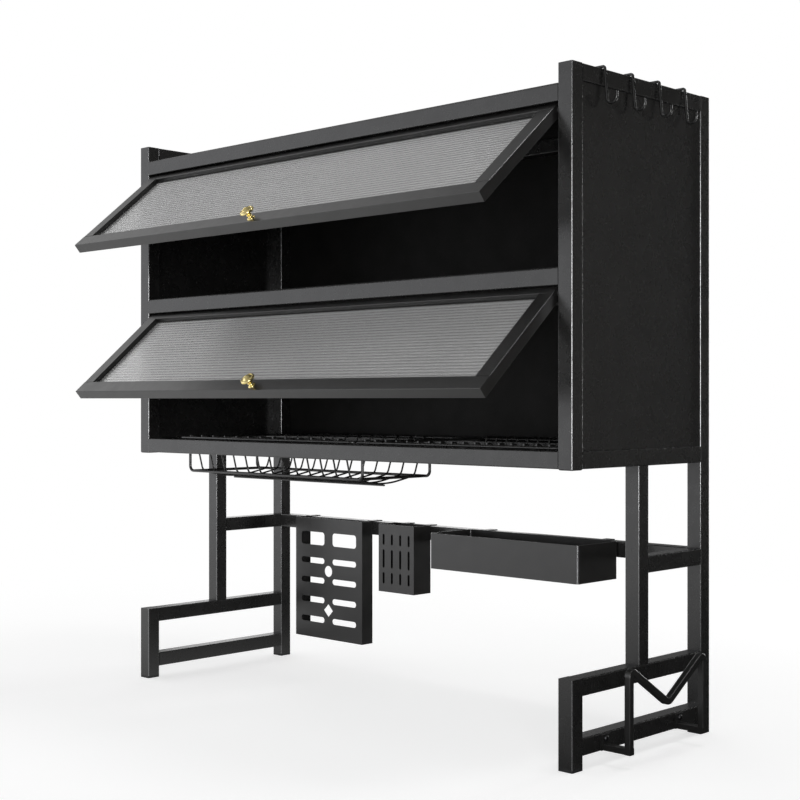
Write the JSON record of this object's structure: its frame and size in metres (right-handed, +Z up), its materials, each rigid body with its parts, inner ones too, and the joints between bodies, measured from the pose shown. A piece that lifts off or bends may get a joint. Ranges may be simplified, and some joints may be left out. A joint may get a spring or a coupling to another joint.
{
  "type": "over-sink dish rack",
  "caption": "Free-standing over-sink dish rack: square-tube stand, wide cabinet with flip-up fluted-glass doors, wire basket and hung accessories.",
  "frame": {"origin": "on the counter, midway between the four feet", "axes": "+X to the right along the rack as seen from the front, +Y from the doors to the back, +Z up"},
  "size_m": [1.047, 0.5251, 0.9868],
  "materials": {
    "frame_steel": "satin",
    "panel_steel": "satin",
    "door_frame": "satin",
    "fluted_glass": "gloss",
    "gasket": "matte",
    "knob_brass": "polished",
    "wire": "satin",
    "hinge_pin": "brushed",
    "bush": "matte",
    "foot_cap": "matte",
    "bolt": "satin",
    "accessory_steel": "satin",
    "hook_steel": "satin"
  },
  "bodies": {
    "frame": {"post_front_left": "frame_steel", "post_front_right": "frame_steel", "post_rear_left": "frame_steel", "post_rear_right": "frame_steel", "rail_front_top": "frame_steel", "rail_front_middle": "frame_steel", "rail_front_bottom": "frame_steel", "rail_rear_top": "frame_steel", "rail_rear_middle": "frame_steel", "rail_rear_bottom": "frame_steel", "rail_side_top_left": "frame_steel", "rail_side_bottom_left": "frame_steel", "rail_side_top_right": "frame_steel", "rail_side_bottom_right": "frame_steel", "panel_side_left": "panel_steel", "panel_side_right": "panel_steel", "panel_back": "panel_steel", "shelf_top": "panel_steel", "shelf_middle": "panel_steel", "foot_post_left": "frame_steel", "foot_post_right": "frame_steel", "mid_post_left": "frame_steel", "mid_post_right": "frame_steel", "foot_bar_upper_left": "frame_steel", "foot_bar_upper_right": "frame_steel", "foot_bar_lower_left": "frame_steel", "foot_bar_lower_right": "frame_steel", "cross_bar_left": "frame_steel", "cross_bar_right": "frame_steel", "hanging_rail": "frame_steel", "foot_caps": "foot_cap", "holder_bolts": "bolt", "board_holder": "frame_steel", "hinge_bushes": "bush"},
    "door_upper": {"door_upper_top_rail": "door_frame", "door_upper_bottom_rail": "door_frame", "door_upper_left_stile": "door_frame", "door_upper_right_stile": "door_frame", "door_upper_glass": "fluted_glass", "door_upper_gasket": "gasket", "door_upper_knob": "knob_brass", "door_upper_hinge_pins": "hinge_pin"},
    "door_lower": {"door_lower_top_rail": "door_frame", "door_lower_bottom_rail": "door_frame", "door_lower_left_stile": "door_frame", "door_lower_right_stile": "door_frame", "door_lower_glass": "fluted_glass", "door_lower_gasket": "gasket", "door_lower_knob": "knob_brass", "door_lower_hinge_pins": "hinge_pin"},
    "dish_basket": {"dish_basket": "wire"},
    "plate_rack": {"plate_rack": "wire"},
    "hook_1": {"hook_1": "hook_steel"},
    "hook_2": {"hook_2": "hook_steel"},
    "hook_3": {"hook_3": "hook_steel"},
    "hook_4": {"hook_4": "hook_steel"},
    "knife_rack": {"knife_rack": "accessory_steel"},
    "chopstick_box": {"chopstick_box": "accessory_steel"},
    "sponge_tray": {"sponge_tray": "accessory_steel"}
  },
  "joints": [
    {"name": "door_upper_hinge", "type": "hinge", "parent": "frame", "child": "door_upper", "pos_m": [0, -0.1655, 0.9185], "axis": [-1, 0, 0], "range_deg": [-50, 40]},
    {"name": "door_lower_hinge", "type": "hinge", "parent": "frame", "child": "door_lower", "pos_m": [0, -0.1655, 0.663], "axis": [-1, 0, 0], "range_deg": [-49.2, 40.8]},
    {"name": "dish_basket_lift", "type": "slide", "parent": "frame", "child": "dish_basket", "axis": [0, 0, 1], "range_m": [0, 0.09]},
    {"name": "plate_rack_lift", "type": "slide", "parent": "frame", "child": "plate_rack", "axis": [0, 0, 1], "range_m": [0, 0.09]},
    {"name": "hook_1_slide", "type": "slide", "parent": "frame", "child": "hook_1", "axis": [0, 1, 0], "range_m": [-0.03, 0.03]},
    {"name": "hook_2_slide", "type": "slide", "parent": "frame", "child": "hook_2", "axis": [0, 1, 0], "range_m": [-0.03, 0.03]},
    {"name": "hook_3_slide", "type": "slide", "parent": "frame", "child": "hook_3", "axis": [0, 1, 0], "range_m": [-0.03, 0.03]},
    {"name": "hook_4_slide", "type": "slide", "parent": "frame", "child": "hook_4", "axis": [0, 1, 0], "range_m": [-0.03, 0.03]},
    {"name": "knife_rack_slide", "type": "slide", "parent": "frame", "child": "knife_rack", "axis": [1, 0, 0], "range_m": [-0.07, 0.025]},
    {"name": "chopstick_box_slide", "type": "slide", "parent": "frame", "child": "chopstick_box", "axis": [1, 0, 0], "range_m": [-0.025, 0.05]},
    {"name": "sponge_tray_slide", "type": "slide", "parent": "frame", "child": "sponge_tray", "axis": [1, 0, 0], "range_m": [-0.04, 0.11]}
  ]
}
